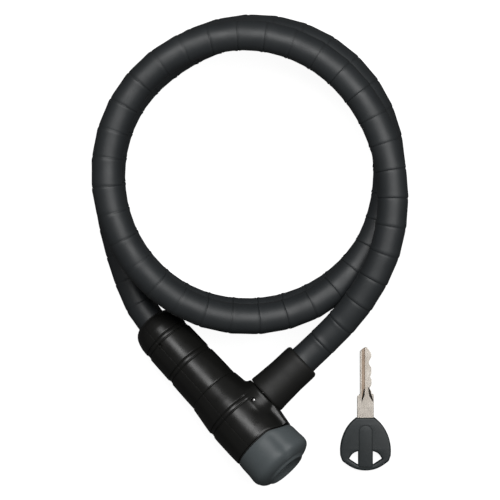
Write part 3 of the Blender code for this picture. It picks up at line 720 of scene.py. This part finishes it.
def build_shutter_spring():
    """Five turns of wire between the shutter and the lock body, in place of the imported spring."""
    coil_radius, wire_radius = 0.75, 0.22
    turn = np.linspace(0.0, 10.0 * np.pi, 161)
    rise = np.linspace(5.1, 11.9, len(turn))
    coil = np.stack([coil_radius * np.cos(turn), rise, SHUTTER_STATION + coil_radius * np.sin(turn)], -1)
    spring = tube("shutter_spring_wire", placed(coil, LOCK), wire_radius * MM, 10, STEEL)
    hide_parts("shutter_spring")
    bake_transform(spring)


# ---------------------------------------------------------------- stud, ferrule, bush and collar
def build_turned_pieces():
    """The round pieces where the cable meets the lock body, each from (radius, station) points."""
    sleeve = rounded([(8.6, SLEEVE_END), (9.35, 43.15), (9.9, 42.3), (10.0, 40.5), (10.0, 32.0), (10.5, 22.0),
                      (10.8, 18.7), (10.55, SLEEVE_START), (5.4, SLEEVE_START), (5.4, 21.5), (9.0, 21.5),
                      (9.0, 37.4), (7.9, 37.9), (7.9, 42.2), (8.15, 43.2)], 0.35)
    ride(turned("ferrule_sleeve_skin", sleeve, STUD, FERRULE_SATIN, sides=96), "cable_side", "black_plastic",
         "ferrule_sleeve")
    stud = rounded([(0.0, 27.5), (3.0, 27.5), (3.0, 22.2), (5.0, 22.2), (5.0, 2.0), (3.25, 2.0), (3.25, -2.0),
                    (5.0, -2.0), (5.0, -5.2), (3.7, -7.2), (0.0, -7.2)], 0.3, closed=False)
    ride(turned("locking_stud_skin", stud, STUD, STEEL, closed=False), "cable_side", "plated_steel",
         "locking_stud")
    bush = rounded([(BUSH_RADIUS, 17.1), (BUSH_RADIUS, 9.5), (5.4, 9.5), (5.4, 17.1)], 0.35)
    ride(turned("socket_bush_skin", bush, STUD, HARD_STEEL), "lock_body", "hardened_steel", "socket_bush")
    collar = rounded([(9.0, 9.6), (9.0, -0.5), (7.75, -0.5), (7.75, 9.6)], 0.4)
    ride(turned("cable_collar_skin", collar, LOCK, RUBBER), "lock_body", "black_rubber", "cable_collar")


# ---------------------------------------------------------------- key
def bow_outline():
    """The bow's outline: shoulders that widen downwards and a curved foot."""
    shoulder = [(4.7, 27.0), (7.6, 24.4), (10.5, 20.2), (12.25, 15.6), (12.95, 11.0), (12.85, 7.6)]
    right = smooth_path(shoulder, 6).tolist()
    left = [(-x, y) for x, y in reversed(right)]
    foot = smooth_path([(11.9, 4.9), (6.8, 1.5), (0.0, 0.0), (-6.8, 1.5), (-11.9, 4.9)], 8).tolist()
    return rounded(left + right + foot, 0.9, steps=2)


def bow_hole(side):
    """One of the two openings in the bow; side is 1 or -1."""
    arc = smooth_path([(3.75, 9.9), (5.4, 9.3), (7.0, 8.1), (8.4, 5.9)], 5)
    corners = [(x * side, y) for x, y in arc] + [(3.75 * side, 2.9)]
    return rounded(corners, 0.35, steps=3)


def strip_outline(half_width, low, high):
    """A strip with a round top."""
    arc = [(half_width * math.cos(a), high - half_width + half_width * math.sin(a))
           for a in np.linspace(0.0, math.pi, 17)]
    return [(-half_width, low), (half_width, low), *arc]


def build_key():
    """The key: a plastic bow with an inlaid strip, and the blade with its bitting, groove and flat."""
    bow = plate("key_bow_skin", [bow_outline(), bow_hole(1.0), bow_hole(-1.0)], 0.0, 6.2, KEY, KEY_PLASTIC,
                edge=0.9, edge_steps=4)
    pocket = plate("pocket", [[(-4.5, 10.6), (4.5, 10.6), (4.5, 40.0), (-4.5, 40.0)]], 1.65, 4.55, KEY, None)
    recess = plate("recess", [strip_outline(3.55, 1.6, 23.4)], 5.75, 8.0, KEY, None)
    cut(bow, [pocket, recess])
    ride(bow, "key", "key_plastic", "key_bow")
    inlay = plate("key_inlay_skin", [strip_outline(3.3, 1.85, 23.15)], 5.5, 6.35, KEY, KEY_INLAY, edge=0.25)
    ride(inlay, "key", "key_inlay", "key_inlay")
    bits = [(3.05, 39.2), (3.1, 40.6), (2.2, 41.6), (2.15, 42.4), (3.05, 43.4), (3.15, 46.6), (2.45, 47.4),
            (2.5, 48.3), (3.05, 49.4), (3.0, 52.6), (1.95, 53.9), (1.7, 55.6), (2.6, 57.2), (3.1, 58.2),
            (2.9, 59.9)]
    tip = [(0.9, 62.8), (0.0, 63.0), (-0.9, 62.5), (-2.8, 60.9)]
    outline = rounded([(-4.25, 10.9), (4.25, 10.9), (4.25, 38.9), *bits, *tip, (-2.8, 38.9), (-4.25, 37.9)],
                      0.5, steps=3)
    blade = plate("key_blade_skin", [outline], 1.9, 4.3, KEY, NICKEL, edge=0.18, edge_steps=2)
    # Name, height it reaches down to and outline of each cut: the groove, the ground flat and the deeper
    # run-outs at their feet, whose faces carry painted shade.
    cuts = [
        ("groove", 3.45,
         [(-1.85, 65.0), (-0.25, 65.0), (-0.25, 40.3), (-1.1, 37.6), (-1.75, 35.6), (-1.95, 36.4)]),
        ("flat", 3.95, [(1.15, 65.0), (4.5, 65.0), (4.5, 39.6), (3.7, 35.9), (3.2, 36.2), (1.15, 40.9)]),
        ("foot", 2.6, [(-2.0, 35.9), (-1.7, 35.1), (-0.4, 38.7), (-0.35, 41.6), (-0.9, 41.6), (-1.5, 38.4)]),
        ("foot", 2.6, [(4.0, 35.6), (3.7, 35.0), (1.9, 38.0), (1.3, 42.4), (1.9, 42.2), (2.8, 39.6)]),
    ]
    cut(blade, [plate(name, [shape], floor, 6.0, KEY, None) for name, floor, shape in cuts],
        sharp=math.radians(14.0))
    blade.data.materials.append(GROOVE_TONE_AND_SHADE_METAL)
    blade.data.materials.append(FOOT_PAINTED_SHADE_METAL)
    # Painted shade: faces in the run-outs get the near-black metal, and faces in the groove get the brown tone
    # darkened with painted shade.
    for face in blade.data.polygons:
        x, y, z = (np.array(face.center) - KEY_ORIGIN) / MM
        if z < 3.3 and 2.0 < z and abs(x) < 4.0 and 34.0 < y < 43.0:
            face.material_index = 2
        elif z < 4.25 and z > 2.7 and -2.1 < x < -0.2 and y > 36.0:
            face.material_index = 1
    ride(blade, "key", "key_nickel", "key_blade")


# ---------------------------------------------------------------- inner parts that keep their CAD shape
def dress_inner_parts():
    """Materials for the inner parts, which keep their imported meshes."""
    finish = {
        "stud_crimp": HARD_STEEL, "lock_core": HARD_STEEL, "cable_anchor": HARD_STEEL, "anchor_pin": STEEL,
        "cylinder_shell": BRASS, "cylinder_pin": STEEL, "keyhole_shutter": SHUTTER_PAINTED_SHADE,
        "lock_plug": BRASS, "lock_cam": STEEL, "plug_clip": STEEL, "locking_bolt": HARD_STEEL,
    }
    finish.update({name: BRASS for name in frame["nodes"] if name.startswith("wafer_")})
    for name, material in finish.items():
        mesh = frame["nodes"][name].data
        mesh.materials.clear()
        mesh.materials.append(material)


# ---------------------------------------------------------------- stage
def build_stage():
    """The staged floor and the even light of the room."""
    bpy.ops.mesh.primitive_plane_add(size=6.0, location=(0.0, 0.0, -0.0002))
    floor = bpy.context.object
    floor.name = "floor"
    nodes = Nodes("floor_paper")
    nodes.set(Base_Color=(*FLOOR_BOUNCE, 1.0), Roughness=0.9, Specular_IOR_Level=0.0)
    paper = nodes.tree.nodes.new("ShaderNodeBsdfDiffuse")
    paper.inputs["Color"].default_value = (*FLOOR_WHITE, 1.0)
    glow = nodes.tree.nodes.new("ShaderNodeEmission")
    glow.inputs["Strength"].default_value = FLOOR_GLOW
    lit = nodes.tree.nodes.new("ShaderNodeAddShader")
    nodes.link(paper.outputs["BSDF"], lit.inputs[0])
    nodes.link(glow.outputs["Emission"], lit.inputs[1])
    seen = nodes.tree.nodes.new("ShaderNodeMixShader")
    nodes.link(nodes.tree.nodes.new("ShaderNodeLightPath").outputs["Is Camera Ray"], seen.inputs["Fac"])
    nodes.link(nodes.shader.outputs["BSDF"], seen.inputs[1])
    nodes.link(lit.outputs["Shader"], seen.inputs[2])
    nodes.link(seen.outputs["Shader"], nodes.tree.nodes["Material Output"].inputs["Surface"])
    floor.data.materials.append(nodes.material)
    world = bpy.data.worlds.new("studio")
    bpy.context.scene.world = world
    world.use_nodes = True
    world.node_tree.nodes["Background"].inputs["Color"].default_value = (1.0, 1.0, 1.0, 1.0)
    world.node_tree.nodes["Background"].inputs["Strength"].default_value = WORLD_LIGHT


def add_softbox(name, place, size, power):
    """A round area light that faces the origin and is itself out of the camera's sight."""
    light = bpy.data.lights.new(name, "AREA")
    light.shape = "DISK"
    light.size = size
    light.energy = power
    item = bpy.data.objects.new(name, light)
    bpy.context.scene.collection.objects.link(item)
    item.location = place
    item.rotation_mode = "QUATERNION"
    item.rotation_quaternion = (-Vector(place)).to_track_quat("-Z", "Y")
    item.visible_camera = False


def build_camera():
    """A long lens that looks straight down on the origin."""
    camera = bpy.data.cameras.new("camera")
    camera.sensor_width = 36.0
    camera.lens = CAMERA_LENS
    item = bpy.data.objects.new("camera", camera)
    bpy.context.scene.collection.objects.link(item)
    item.location = (0.0, 0.0, CAMERA_HEIGHT)
    camera.clip_start = 0.05
    camera.clip_end = 20.0
    bpy.context.scene.camera = item


def main():
    """Stage, lights and camera first, then every visible piece."""
    bpy.context.scene.view_settings.view_transform = "Standard"
    build_stage()
    for softbox in SOFTBOXES:
        add_softbox(*softbox)
    build_camera()
    cable, cable_path, tail, length = build_cable()
    build_turned_pieces()
    build_covers()
    build_cap()
    build_shutter_spring()
    build_key()
    dress_inner_parts()


main()
